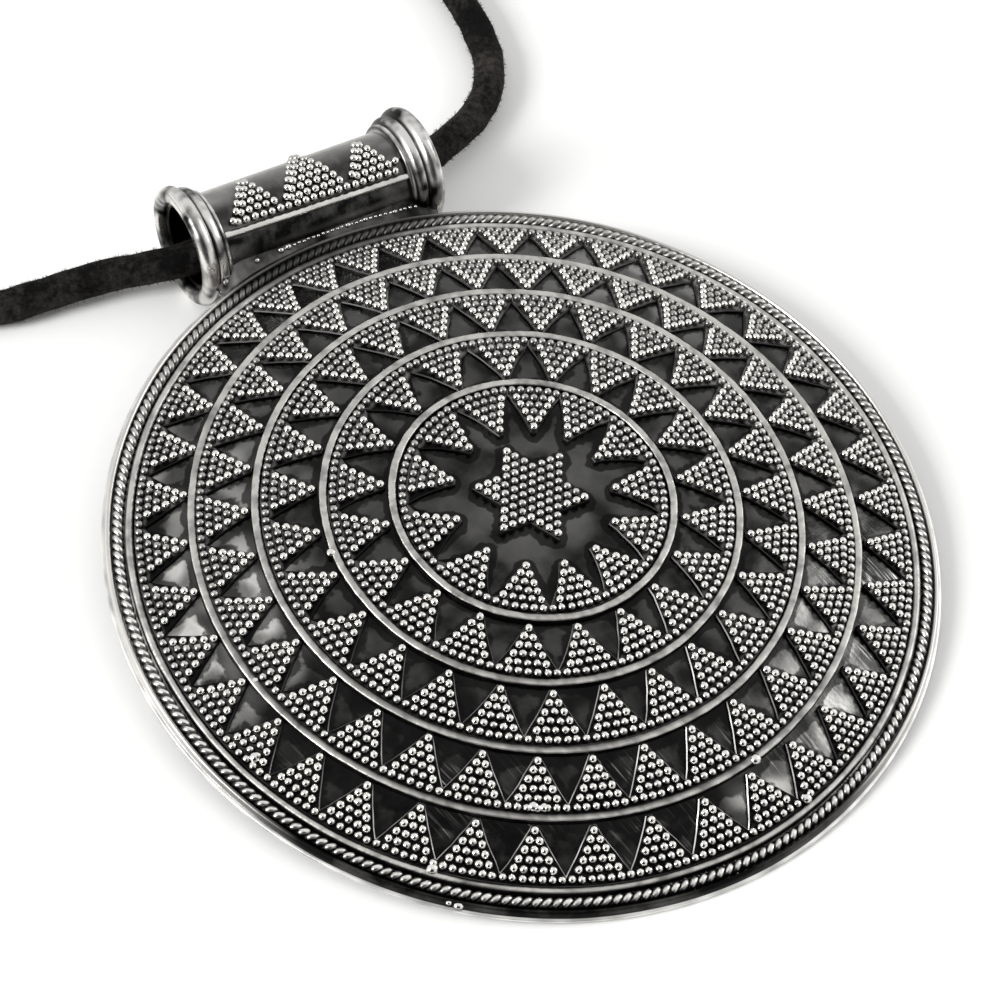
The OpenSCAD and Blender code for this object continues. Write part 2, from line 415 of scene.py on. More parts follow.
# A smooth curve through the route's points, and the line that it follows. Each handle is a sixth
# of the step between the point's neighbours.
def cordCurve():
    points = [Vector(p) * mm for p in leatherCord["route"]]
    curve = bpy.data.curves.new("cordLine", "CURVE")
    curve.dimensions = "3D"
    curve.resolution_u = leatherCord["rings"]
    curve.bevel_depth = leatherCord["diameter"] / 2 * mm
    curve.bevel_resolution = leatherCord["sides"]
    curve.use_fill_caps = True
    spline = curve.splines.new("BEZIER")
    spline.bezier_points.add(len(points) - 1)
    for i, knot in enumerate(spline.bezier_points):
        before = points[i - 1] if i else 2 * points[0] - points[1]
        after = points[i + 1] if i + 1 < len(points) else 2 * points[-1] - points[-2]
        reach = (after - before) / 6
        knot.handle_left_type = knot.handle_right_type = "FREE"
        knot.co = points[i]
        knot.handle_left = points[i] - reach
        knot.handle_right = points[i] + reach
    knots = spline.bezier_points
    line = []
    for a, b in zip(knots, knots[1:]):
        bend = (a.co, a.handle_right, b.handle_left, b.co)
        line += geometry.interpolate_bezier(*bend, leatherCord["pathRings"])[:-1]
    return curve, line + [points[-1]]


# Short fibres of the nap stand off the cord at all angles.
def growNap(whole, skin):
    nap = leatherCord["nap"]
    for first in range(0, nap["count"], nap["batch"]):
        few = bmesh.new()
        for root in steady.choices(skin, k=nap["batch"]):
            lean = Vector([steady.uniform(-nap["lean"], nap["lean"]) for axis in range(3)])
            up = (root.normal + lean).normalized()
            long = steady.uniform(*nap["long"]) * mm
            aside = Vector([steady.uniform(-nap["aside"], nap["aside"]) * mm for axis in range(3)])
            aside -= root.normal * aside.dot(root.normal)
            place = Matrix.Translation(root.co + aside + up * long * nap["seated"])
            bmesh.ops.create_cone(
                few, segments=3, radius1=nap["thick"] * mm, radius2=0, depth=long,
                matrix=place @ facing(up),
            )
        addTo(whole, few)


def buildCord():
    curve, line = cordCurve()
    bm = meshFrom(curve)
    bmesh.ops.remove_doubles(bm, verts=bm.verts, dist=merge * mm)
    bm.normal_update()
    size, swell = leatherCord["lumps"]
    for v in bm.verts:
        v.co += v.normal * noise.noise(v.co / (size * mm)) * swell * mm
    growNap(bm, [v for v in bm.verts if v.co.z > leatherCord["nap"]["above"] * mm])
    piece = finishPiece("leatherCord", bm, suedeLeather(), Matrix.Identity(4))
    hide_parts("cord")


clasp = buildClasp()
print("clasp made")
buildCord()
print("cord laid")


# How far a value is from low to high, eased at both ends.
def ease(value, low, high):
    t = min(1, max(0, (value - low) / (high - low)))
    return t * t * (3 - 2 * t)


def onCircle(r, azimuth, z=0):
    return Vector((r * math.cos(math.radians(azimuth)), r * math.sin(math.radians(azimuth)), z))


# Writes an attribute from a rule on each point. The default attribute holds how far each place is rubbed,
# with painted light and shade added.
def paint(bm, rule, name="polishAndLight"):
    layer = bm.verts.layers.float.get(name) or bm.verts.layers.float.new(name)
    for v in bm.verts:
        v[layer] = rule(v.co)


# Uneven handwork: every point moves a little, and neighbours move alike.
def roughen(bm, size, swing, seed=0):
    for v in bm.verts:
        v.co += Vector(noise.noise_vector(v.co / size + Vector((seed, 0, 0)))) * swing


# A middle value, and clouds that swing about it: how far, and how many of them to the millimetre.
def cloudy(p, middle, *clouds):
    return middle + sum(swing * noise.noise(p * often) for swing, often in clouds)


dome = {
    "plate": [
        (0, 5.45), (6, 5.4), (11.89, 5.17), (17.42, 4.65), (22.84, 3.66), (27.9, 2.2), (32.3, 0.65),
        (33.2, 0.6), (34.2, 0.45),
    ],
    "shift": (-0.19, 0.16), "shiftEnds": (28, 29.5),
    "edge": [(34.74, 0.45), (34.93, 0.44), (34.99, 0.4), (35, 0.15), (34.85, 0)],
    "back": [(30, 0), (15, 0), (0, 0)],
    "front": 0.3, "ledge": 34.75, "ledgeShine": (0.75, (0.4, 0.7)),
    "steps": 480, "between": 0.38, "dent": (0.4, 0.05, 33, 34),
    "wornAndLit": (0.06, 0.07, 12, 26),
    "rubbed": [
        (-29, 2, 11, 2.2), (12, -28, 8, 0.45), (3, -29.5, 5, 0.9), (14, -21, 7, 0.25), (-22, 15, 10, 0.35),
        (22, 18, 12, 0.25), (0, 0, 8, 0.07),
    ],
    "paintedFootShade": (0.75, -5, 1),
    "blotch": (0.45, 0.35, 0.3, 1.4),
    "filed": {"outward": (22, 27), "down": (8, 20)},
    "clear": 2, "seam": 0.45, "footShadowShift": 0.3,
    "wideSoot": (8, 13, 0.3, 0.5), "paintedWireShadow": 0.55, "insideWire": 2,
}


def plateHeight(r):
    knots = dome["plate"]
    for (r0, z0), (r1, z1) in zip(knots, knots[1:]):
        if r <= r1:
            return z0 + (z1 - z0) * (r - r0) / (r1 - r0)
    return knots[-1][1]


domeShift = Vector((*dome["shift"], 0))
# Where each grain on the plate stands, noted as it is laid.
seams = []


# Finds the nearest grain to a place, seen from above.
def seamTree():
    tree = kdtree.KDTree(len(seams))
    for number, place in enumerate(seams):
        tree.insert((place.x, place.y, 0), number)
    tree.balance()
    return tree


def buildPlate():
    section = []
    for (r0, z0), (r1, z1) in zip(dome["plate"], dome["plate"][1:]):
        count = max(1, round((r1 - r0) / dome["between"]))
        section += [(r0 + (r1 - r0) * k / count, z0 + (z1 - z0) * k / count) for k in range(count)]
    section += [dome["plate"][-1]] + dome["edge"] + dome["back"]
    bm = spinSection(section, dome["steps"], closed=False)
    often, deep, near, far = dome["dent"]
    for v in bm.verts:
        r = v.co.to_2d().length
        if v.co.z > dome["front"]:
            v.co += domeShift * (1 - ease(r, *dome["shiftEnds"]))
            v.co.z += noise.noise(v.co * often) * deep * (1 - ease(r, near, far))

    def rubbedAndShadedPlate(p):
        inner, outer, low, high = dome["wornAndLit"]
        wear = inner + (outer - inner) * ease(p.to_2d().length, low, high)
        for x, y, reach, strength in dome["rubbed"]:
            wear += strength * (1 - ease(math.hypot(p.x - x, p.y - y), 0, reach))
        # Painted shade: the plate is darkened toward the foot on its left half.
        black, right, left = dome["paintedFootShade"]
        wear *= 1 - black * footward(p) * ease(-p.x, right, left)
        grain, swing, least, more = dome["blotch"]
        return wear * (least + more * ease(noise.noise(p * grain), -swing, swing))

    paint(bm, rubbedAndShadedPlate)
    paint(bm, seamClearance(), "clearance")
    out, down = dome["filed"]["outward"], dome["filed"]["down"]
    paint(bm, lambda p: ease(p.to_2d().length, *out) * ease(-p.y, *down), "filed")
    paint(bm, lambda p: cloudy(p, *dome["ledgeShine"]), "cut")
    for face in bm.faces:
        if face.calc_center_median().to_2d().length > dome["ledge"]:
            face.material_index = 1
    finishSilver("domedPlate", bm, "plate", sharp=35)


# How far a place on the plate is from the nearest soldered sheet or ring wire. A painted shadow
# reaches farther out on the foot's side of a sheet, and outside the ring wires it widens toward
# the foot.
def seamClearance():
    upward = Vector(paintedLightAxis["towards"]) * dome["footShadowShift"]
    tree = seamTree()

    def clearance(p):
        if p.z < dome["front"]:
            return dome["clear"]
        nearest = min(tree.find((p + upward * k / 2).to_2d().to_3d())[2] for k in range(3))
        first, last, gain, soft = dome["wideSoot"]
        r = (p - domeShift).to_2d().length
        outward = ease(r, first, last)
        sheet = (nearest - dome["seam"]) * (1 - soft * outward) + gain * outward
        # Painted shadow: outside each ring wire the dark band widens toward the foot.
        wide = 1 - dome["paintedWireShadow"] * footward(p)
        beside = [
            (r - outer) * wide if r > outer else (outer - wires["width"] - r) * dome["insideWire"]
            for outer, top in wires["rings"]
        ]
        return min([sheet] + [max(0, b) for b in beside])

    return clearance


wires = {
    "rings": [(11.89, 5.8), (17.42, 5.25), (22.84, 4.28), (27.9, 2.9)],
    "width": 0.62, "round": 0.09,
    "shoulder": [(0, 1.9), (0, 1.4), (0.4, 0.4), (1.4, 0)],
    "sunk": 0.25, "steps": 480,
    "plain": (32.78, 0.86, 0.34), "plainSides": 16, "plainBand": (0.35, 0.43, 0.12),
    "sway": (6, 0.05), "burr": (0.7, 0.035),
    "rubbed": (0.8, (0.5, 0.8), (0.4, 2.2)), "crown": (0.12, 0.03), "inner": (0.4, 0.8, 0.85),
}
# Painted light at the left of the disc: how much, and over which distances leftward and upward it grows.
leftSide = {"wornAndLit": 0.14, "out": (8, 26), "up": (-16, 2)}
# The bail's painted shadow: how dark it is, where it begins and is full toward the bail, where it fades
# aside, and how black it makes the wires.
corner = {"left": 0.9, "far": (30, 33.5), "aside": (9, 15), "paintedShadowBlack": 0.15}


# A painted shadow of the bail: 1 in the open, darker in the region just below the bail.
def outOfBailShadow(p):
    return 1 - corner["left"] * ease(p.y, *corner["far"]) * (1 - ease(abs(p.x), *corner["aside"]))


# The wires are rubbed unevenly, and the bail's painted shadow darkens them below it.
def wireRubAndShadow(p):
    here = outOfBailShadow(p)
    return cloudy(p, *wires["rubbed"]) * here - corner["paintedShadowBlack"] * (1 - here)


# Painted light at the left of the disc lifts the black to grey.
def paintedLeftLight(p):
    return leftSide["wornAndLit"] * ease(-p.x, *leftSide["out"]) * ease(p.y, *leftSide["up"])


# How far down toward the foot of the disc a place is, from 0 at the middle to 1 at the edge. It
# sets where painted shade falls.
def footward(p):
    return ease(-p.dot(Vector(paintedLightAxis["towards"])), *paintedLightAxis["foot"])


# Toward the foot a painted shade darkens the inner part of a ring wire's top, so only its outer
# part is bright.
def rubbedAndShadedRing(p, inner, top):
    across = ((p - domeShift).to_2d().length - inner) / wires["width"]
    low, high, black = wires["inner"]
    shaded = footward(p) * (1 - ease(across, low, high))
    foot, crest = wires["crown"]
    return ease(p.z, top - foot, top - crest) * wireRubAndShadow(p) * (1 - black * shaded)


def buildRingWires():
    whole = bmesh.new()
    shoulder = [(aside * wires["round"], down * wires["round"]) for aside, down in wires["shoulder"]]
    for number, (outer, top) in enumerate(wires["rings"]):
        inner, foot = outer - wires["width"], plateHeight(outer) - wires["sunk"]
        section = [(inner, foot)] + [(inner + aside, top - down) for aside, down in shoulder]
        section += [(outer - aside, top - down) for aside, down in reversed(shoulder)] + [(outer, foot)]
        bm = spinSection(section, wires["steps"])
        bmesh.ops.translate(bm, vec=domeShift, verts=bm.verts)
        roughen(bm, *wires["sway"], seed=number)
        roughen(bm, *wires["burr"], seed=number + 9)
        paint(bm, lambda p: rubbedAndShadedRing(p, inner, top))
        addTo(whole, bm)
    finishSilver("ringWires", whole, "wire")


def circleSection(r, z, radius, sides):
    turns = [2 * math.pi * k / sides for k in range(sides)]
    return [(r + radius * math.cos(t), z + radius * math.sin(t)) for t in turns]


def buildPlainWire():
    r, z, radius = wires["plain"]
    bm = spinSection(circleSection(r, z, radius, wires["plainSides"]), wires["steps"])
    roughen(bm, *wires["sway"], seed=20)

    def rubbedAndShadedWire(p):
        # Only a band along its top is bright, and painted shade narrows it toward the foot.
        least, more, soft = wires["plainBand"]
        low = z + radius * (least + more * footward(p))
        return ease(p.z, low, low + radius * soft) * wireRubAndShadow(p)

    paint(bm, rubbedAndShadedWire)
    finishSilver("plainWire", bm, "wire", sharp=80)


rim = {
    "section": [
        (34.2, 0.35), (34.26, 0.85), (34.34, 0.98), (34.42, 1.04), (34.5, 1.05), (34.57, 1.02),
        (34.63, 0.95), (34.69, 0.83), (34.75, 0.66), (34.78, 0.48), (34.76, 0.35),
    ],
    "paintedDarkSlope": (-116, 35, 65), "slope": (0.02, 0.8), "crest": (0.96, 0.12, 0.02, 0.8),
    "clouds": (0.1, 0.3), "steps": 480,
}


def buildRim():
    bm = spinSection(rim["section"], rim["steps"])
    roughen(bm, *wires["sway"], seed=30)

    # Painted shade: the outer slope is black where it faces the front, where the studio is dark, and
    # bright to both sides. The bright crest is narrowed toward the foot by painted shade, and the bail's
    # painted shadow darkens it.
    def rubbedAndShadedRim(p):
        middle, low, high = rim["paintedDarkSlope"]
        away = abs((math.degrees(math.atan2(p.y, p.x)) - middle + 180) % 360 - 180)
        least, more = rim["slope"]
        base, rise, soft, shine = rim["crest"]
        crest = base + rise * footward(p)
        bright = max(least + more * ease(away, low, high), ease(p.z, crest, crest + soft) * shine)
        return cloudy(p, bright * outOfBailShadow(p), rim["clouds"])

    paint(bm, rubbedAndShadedRim)
    finishSilver("rimWire", bm, "raised")


rope = {
    "r": 33.7, "z": 0.74, "turns": 137, "strand": 0.3, "reach": (0.21, 0.2),
    "crown": (0.34, 0.44), "duller": 0.5, "from": (10, 31), "paintedShadowBlack": 0.4,
    "points": 12, "resolution": 1,
}


# Two strands of wire twisted round each other, laid in a ring.
def buildRope():
    curve = bpy.data.curves.new("rope", "CURVE")
    curve.dimensions = "3D"
    curve.bevel_depth = rope["strand"]
    curve.bevel_resolution = rope["resolution"]
    count = rope["turns"] * rope["points"]
    for strand in range(2):
        spline = curve.splines.new("POLY")
        spline.points.add(count - 1)
        spline.use_cyclic_u = True
        for i, knot in enumerate(spline.points):
            twist = 2 * math.pi * (i / rope["points"] + strand / 2)
            aside, high = rope["reach"]
            r, z = rope["r"] + aside * math.cos(twist), rope["z"] + high * math.sin(twist)
            knot.co = (*onCircle(r, 360 * i / count, z), 1)
    bm = meshFrom(curve)

    # The strands' crowns are rubbed. Painted shade dulls them toward the bail, the bail's painted
    # shadow darkens the region below it, and painted light lifts them at the left.
    def rubbedShadedAndLitRope(p):
        here = outOfBailShadow(p)
        bright = ease(p.z - rope["z"], *rope["crown"]) * (1 - rope["duller"] * ease(p.y, *rope["from"]))
        return bright * here - rope["paintedShadowBlack"] * (1 - here) + paintedLeftLight(p)

    paint(bm, rubbedShadedAndLitRope)
    finishSilver("twistedRope", bm, "rope", sharp=80)


# Rings of sawtooth sheet from the inside out: number of teeth, radius of the tip grain and of the
# base row, azimuth of the first tooth, and waves of drift in the spacing, each a swing and a lag.
bands = [
    {"count": 13, "tip": 6.9, "base": 10.74, "turn": -21.1,
     "drift": [(4.3, -160), (2.9, -1), (0, 0)]},
    {"count": 20, "tip": 12.56, "base": 16.35, "turn": -34.7,
     "drift": [(2.7, 155), (1.3, -82), (0.8, 47)]},
    {"count": 27, "tip": 18.04, "base": 21.75, "turn": -36.4,
     "drift": [(0.4, 114), (0.1, -158), (0.3, -45)]},
    {"count": 34, "tip": 23.37, "base": 26.9, "turn": -35.5,
     "drift": [(0.1, -61), (0.1, 48), (0.3, -17)]},
    {"count": 40, "tip": 28.5, "base": 32, "turn": -38.8,
     "drift": [(1.1, -11), (1.1, 83), (1, -175)]},
]
teeth = {
    "thick": 0.25, "sunk": 0.12, "outside": 0.42,
    "tip": 0.45, "valley": 0.4, "blunt": 0.25,
    "rungs": 5, "across": 4,
    "bevel": 0.075, "join": 0.01, "flat": 0.7, "wall": 0.4, "ragged": (1.7, 0.06),
    "cutShine": (0.7, (0.8, 0.7)),
    "cutWhere": {"down": (2, 24), "right": (-3, 10)},
    "margin": (0.45, 0.6, 0.7),
}


def toothAzimuth(band, i):
    turn = 360 * i / band["count"]
    waves = enumerate(band["drift"], 1)
    drift = sum(swing * math.sin(math.radians(k * turn - lag)) for k, (swing, lag) in waves)
    return band["turn"] + turn + drift


# Spreads a row of points evenly over the dome, from the left azimuth to the right one.
def layRow(row, middle, r, left, right):
    row.sort(key=lambda v: (math.degrees(math.atan2(v.co.y, v.co.x)) - middle + 180) % 360)
    for k, v in enumerate(row):
        v.co = onCircle(r, left + (right - left) * k / (len(row) - 1), plateHeight(r) + teeth["thick"])


# One tooth grows as rows of edges, from its blunt tip to the outer edge of its ring.
def growTooth(bm, band, i):
    here = toothAzimuth(band, i)
    left = (toothAzimuth(band, i - 1) + here) / 2
    right = (here + toothAzimuth(band, i + 1)) / 2
    tip, valley = band["tip"] - teeth["tip"], band["base"] - teeth["valley"]
    blunt = math.degrees(teeth["blunt"] / tip)
    half = teeth["across"] / 2
    places = [onCircle(tip, here + blunt * (k - half) / half) for k in range(teeth["across"] + 1)]
    row = [bm.verts.new(place) for place in places]
    edges = [bm.edges.new(pair) for pair in zip(row, row[1:])]
    layRow(row, here, tip, here - blunt, here + blunt)
    for step in range(1, teeth["rungs"] + 2):
        grown = bmesh.ops.extrude_edge_only(bm, edges=edges)["geom"]
        row = [g for g in grown if isinstance(g, bmesh.types.BMVert)]
        across = [g for g in grown if isinstance(g, bmesh.types.BMEdge)]
        edges = [e for e in across if all(v in row for v in e.verts)]
        share = min(1, step / teeth["rungs"])
        r = tip + (valley - tip) * share if step <= teeth["rungs"] else band["base"] + teeth["outside"]
        first = here - blunt + (left - here + blunt) * share
        last = here + blunt + (right - here - blunt) * share
        layRow(row, here, r, first, last)


# Gives an open sheet its thickness, a bevel along its upper edges that is painted bright as a
# highlight, and a hand-cut outline.
def thicken(bm, cut=1):
    bmesh.ops.remove_doubles(bm, verts=bm.verts, dist=teeth["join"])
    bmesh.ops.recalc_face_normals(bm, faces=bm.faces)
    if sum(f.normal.z for f in bm.faces) < 0:
        bmesh.ops.reverse_faces(bm, faces=bm.faces)
    often, swing = teeth["ragged"]
    for v in bm.verts:
        if v.is_boundary:
            v.co += Vector(noise.noise_vector(v.co * often)) * swing
    bmesh.ops.solidify(bm, geom=bm.faces, thickness=teeth["thick"] + teeth["sunk"])
    bm.normal_update()
    upper = [
        e for e in bm.edges
        if len(e.link_faces) == 2 and max(f.normal.z for f in e.link_faces) > teeth["flat"]
        and min(abs(f.normal.z) for f in e.link_faces) < teeth["wall"]
    ]
    bmesh.ops.bevel(
        bm, geom=upper, offset=teeth["bevel"], segments=1, profile=0.5, affect="EDGES", material=1,
    )

    # Painted highlight: the cut edges are bright toward the foot, and less at the right.
    def shine(p):
        down, right = teeth["cutWhere"]["down"], teeth["cutWhere"]["right"]
        return cut * ease(-p.y, *down) * (1 - ease(p.x, *right)) * cloudy(p, *teeth["cutShine"])

    paint(bm, shine, "cut")


# Between its grains a sheet stays black, lifted to dark grey at the left by painted light, and it
# is darker again in its margin beyond the grains. Only its cut edge is bright, a painted highlight.
def finishSheet(name, bm):
    inner, outer, darker = teeth["margin"]
    tree = seamTree()

    def sheetLeftLightAndMargin(p):
        return paintedLeftLight(p) - darker * ease(tree.find((p.x, p.y, 0))[2], inner, outer)

    paint(bm, sheetLeftLightAndMargin)
    finishSilver(name, bm, "sheet", sharp=25)


def buildSawSheets():
    for number, band in enumerate(bands):
        bm = bmesh.new()
        for i in range(band["count"]):
            growTooth(bm, band, i)
        thicken(bm)
        if number < len(bands) - 1:
            bmesh.ops.translate(bm, vec=domeShift, verts=bm.verts)
        finishSheet(f"sawSheet{number + 1}", bm)


star = {
    "pitch": 0.836, "turn": -32.6, "shift": (-0.27, 0.44), "lift": 0.28,
    "grain": 0.38, "margin": 0.5,
    "columns": [1, 2, 3, 10, 9, 8, 7, 8, 9, 10, 3, 2, 1],
    "points": (0, 1, 2), "within": (3, 4, 5, 6), "shine": 0.8,
}


def buildStarSheet():
    tip = star["pitch"] * 3 * math.sqrt(3) + star["margin"]
    notch = tip / math.sqrt(3)
    bm = bmesh.new()
    places = [onCircle(notch if i % 2 else tip, star["turn"] + 30 * i) for i in range(12)]
    bm.faces.new([bm.verts.new(place) for place in places])
    lift = dome["plate"][0][1] + teeth["thick"]
    bmesh.ops.translate(bm, vec=(*star["shift"], lift), verts=bm.verts)
    thicken(bm, cut=0)
    finishSheet("starSheet", bm)


grains = {
    "radius": 0.365, "rows": 5, "around": (8, 6),
    "uneven": 0.035, "strewn": 0.035,
    "pitch": 0.75, "basePitch": 0.76,
    "lift": 0.23, "squash": 0.92,
    "rubbed": (0.42, 0.56), "rubbedEdge": (-0.35, 0.05),
    "within": (0.5, 0.5, -12, 12), "lean": 0.35, "batch": 16,
}


# Grains within a sheet are brighter toward the foot than toward the bail, and the bail's painted
# shadow darkens them below it.
def rubbedWithinAndShaded(p):
    least, more, near, far = grains["within"]
    return (least + more * ease(-p.y, near, far)) * outOfBailShadow(p)


# One little ball, rubbed bright on its crown, with the bright cap leaned toward the bail as a
# painted highlight, and left black at its foot. A grain at an edge is bright farther down, under the
# bail's painted shadow.
def addGrain(bm, place, up, radius, squash, edge, rubbed, shine):
    layer = bm.verts.layers.float.get("polishAndLight") or bm.verts.layers.float.new("polishAndLight")
    tumble = Euler([steady.uniform(0, 2 * math.pi) for axis in range(3)]).to_matrix().to_4x4()
    shape = Matrix.Translation(place) @ facing(up) @ Matrix.Diagonal((1, 1, squash, 1)) @ tumble
    turns, tiers = grains["around"]
    made = bmesh.ops.create_uvsphere(bm, u_segments=turns, v_segments=tiers, radius=radius, matrix=shape)
    span, bright = (grains["rubbedEdge"], outOfBailShadow) if edge else (rubbed, shine)
    crown = (up + Vector(paintedLightAxis["towards"]) * grains["lean"]).normalized()
    for v in made["verts"]:
        v[layer] = ease((v.co - place).dot(crown) / radius, *span) * bright(place)


# Where one grain lies: its place, slightly off, the way up, its uneven radius, its flatness, and
# whether it stands at an edge.
def strewn(place, up, radius=grains["radius"], edge=False):
    spread, uneven = grains["strewn"], grains["uneven"]
    nudge = Vector((steady.uniform(-spread, spread), steady.uniform(-spread, spread), 0))
    size = radius * (1 + steady.uniform(-uneven, uneven))
    return place + nudge, up, size, grains["squash"], edge


# Grains are made a few at a time and then joined, which is much quicker.
def castGrains(name, spots, matrix=toRest, rubbed=grains["rubbed"], shine=rubbedWithinAndShaded):
    whole = bmesh.new()
    for first in range(0, len(spots), grains["batch"]):
        few = bmesh.new()
        for spot in spots[first:first + grains["batch"]]:
            addGrain(few, *spot, rubbed, shine)
        addTo(whole, few)
    finishSilver(name, whole, "grain", matrix, 180)


# Square to the dome at a place on it.
def domeUp(flat, r, reach=0.4):
    slope = (plateHeight(r + reach) - plateHeight(r - reach)) / (2 * reach)
    return (Vector((0, 0, 1)) - flat.normalized() * slope).normalized()


def grainOnBand(shift, r, azimuth, edge=False):
    flat = onCircle(r, azimuth)
    lift = Vector((0, 0, plateHeight(r) + teeth["thick"] + grains["lift"]))
    return strewn(flat + shift + lift, domeUp(flat, r), edge=edge)


def buildGrains():
    for number, band in enumerate(bands):
        shift = domeShift if number < len(bands) - 1 else Vector((0, 0, 0))
        spots = []
        for i in range(band["count"]):
            for row in range(grains["rows"]):
                r = band["tip"] + row * (band["base"] - band["tip"]) / grains["rows"]
                step = math.degrees(grains["pitch"] / r)
                for k in range(row + 1):
                    here = toothAzimuth(band, i) + (k - row / 2) * step
                    spots.append(grainOnBand(shift, r, here, edge=k in (0, row)))
        around = round(2 * math.pi * band["base"] / grains["basePitch"])
        spots += [grainOnBand(shift, band["base"], 360 * k / around) for k in range(around)]
        seams.extend(spot[0] for spot in spots)
        castGrains(f"grainsRing{number + 1}", spots)


def buildStarGrains():
    across, along = onCircle(1, star["turn"]), onCircle(1, star["turn"] + 90)
    middle = (len(star["columns"]) - 1) / 2
    centre = Vector((*star["shift"], dome["plate"][0][1] + teeth["thick"] + star["lift"]))
    spots = []
    for c, count in enumerate(star["columns"]):
        for k in range(count):
            aside = across * (c - middle) * star["pitch"] * math.sqrt(3) / 2
            place = centre + aside + along * (k - (count - 1) / 2) * star["pitch"]
            outer = k == 0 or c in star["points"] or c == 3 and k not in star["within"]
            spots.append(strewn(place, Vector((0, 0, 1)), star["grain"], outer))
    seams.extend(spot[0] for spot in spots)
    castGrains("grainsStar", spots, shine=lambda p: star["shine"])


bail = {
    "middle": (-0.44, 39.14, 0.6), "length": 24.3, "tube": 4.14, "wall": 0.49,
    "beads": [(0.78, 0.78, 5.5), (2.05, 0.58, 5.15), (2.82, 0.3, 4.7)],
    "shank": (-6, -3, 0, 3, 6), "bore": (4, -4), "slip": (0.25, 1.4, 2.2),
    "collar": 3.2, "step": 0.1, "steps": 120,
    "inside": (0.1, -0.3), "under": 0.2,
    "upward": [(40, 55, 0.05), (80, 140, 0.4)],
    "collarSmear": (5, 3, 0.4, (1, 0.9)), "lineSmear": (20, 2, 6, 0.5, (1, 1)),
    "smearEnds": (-6, 2), "smear": 0.25,
    "groove": (0.04, 0.2), "blotch": (0.52, (1.3, 0.5), (0.6, 1.5)), "bright": 4.3,
    "wire": {
        "angle": 47.5, "skew": 1.5, "radius": 0.34, "length": 19.2, "sides": 16, "aside": 0.2,
        "round": 0.12, "cuts": 40, "sway": (3, 0.05), "rubbed": (0.8, (0.4, 0.6)),
    },
    "seat": {
        "low": (-11.4, 34.5, 0.3), "high": (10.6, 35.5, 1.06), "round": 0.15, "cuts": 44,
        "melt": (2.5, 0.04), "arc": 0.0143, "taper": (8, 11.5, 0.7), "crown": -1, "rise": 0.8,
        "rubbed": (0.03, (0.1, 0.8)), "leftEnd": (8, 11, 0.5), "leftClouds": (0.6, (1, 1.2)),
        "line": 0.5, "above": 0.06, "up": (0, -0.6, 1), "row": (-4.3, 0.17, 0.48, 28), "shine": 0.7,
        "larger": [(-7.2, 0.28), (-4.7, 0.32), (-3.95, 0.33), (2.05, 0.28), (3.8, 0.24), (6.6, 0.24)],
    },
}
toBail = toRest @ Matrix.Translation(bail["middle"])


def bailOuter(s):
    reach = [bail["tube"]]
    for middle, radius, outer in bail["beads"]:
        if abs(s - middle) <= radius:
            reach.append(outer - radius + math.sqrt(radius ** 2 - (s - middle) ** 2))
    return max(reach)


def lipInner(s):
    middle, radius, outer = bail["beads"][0]
    return outer - radius - math.sqrt(radius ** 2 - (s - middle) ** 2)


def buildBailTube():
    end, step, lip = bail["length"] / 2, bail["step"], bail["beads"][0][0]
    bore = bail["tube"] - bail["wall"]
    outside = [(bailOuter(k * step), k * step - end) for k in range(round(bail["collar"] / step) + 1)]
    inside = [(lipInner(k * step), k * step - end) for k in range(round(lip / step), 0, -1)]
    shank = [(bail["tube"], z) for z in bail["shank"]]
    hollow = [(bore, z) for z in (end - lip - step, *bail["bore"], lip + step - end)]
    section = outside + shank + [(r, -z) for r, z in reversed(outside)]
    section += [(r, -z) for r, z in reversed(inside)] + hollow + inside
    bm = spinSection(section, bail["steps"])
    bmesh.ops.rotate(bm, matrix=Matrix.Rotation(math.radians(90), 3, "Y"), verts=bm.verts)
    grooves = [middle + radius for middle, radius, outer in bail["beads"]]

    # Between the collars it is smeared by them and along a line in front, and it grows lighter toward
    # its top, partly from wear and partly as a painted reflection of the sky.
    def rubbedAndSkyLitTube(p, s):
        angle = math.degrees(math.atan2(p.z, -p.y))
        if angle <= 0:
            return bail["under"]
        far, near, *clouds = bail["collarSmear"]
        smear = ease(-s, -far, -near) * cloudy(p, *clouds)
        line, near, far, *clouds = bail["lineSmear"]
        beside = 1 - ease(abs(angle - line), near, far)
        smear += cloudy(p, *clouds) * beside * ease(p.x, *bail["smearEnds"])
        wornAndLit = sum(strength * ease(angle, low, high) for low, high, strength in bail["upward"])
        return wornAndLit + bail["smear"] * smear

    def rubbedAndSkyLitBail(p):
        r, s = math.hypot(p.y, p.z), end - abs(p.x)
        margin, black = bail["inside"]
        if r < bore + margin:
            return black
        if s > bail["collar"] - step:
            return rubbedAndSkyLitTube(p, s)
        clear = ease(min(abs(s - groove) for groove in grooves), *bail["groove"])
        return cloudy(p, *bail["blotch"]) * clear * ease(r, bore, bail["bright"])

    paint(bm, rubbedAndSkyLitBail)
    slip, near, far = bail["slip"]
    for v in bm.verts:
        v.co.z += slip * (1 - ease(end - abs(v.co.x), near, far))
    finishSilver("bailTube", bm, "bail", toBail, 50)


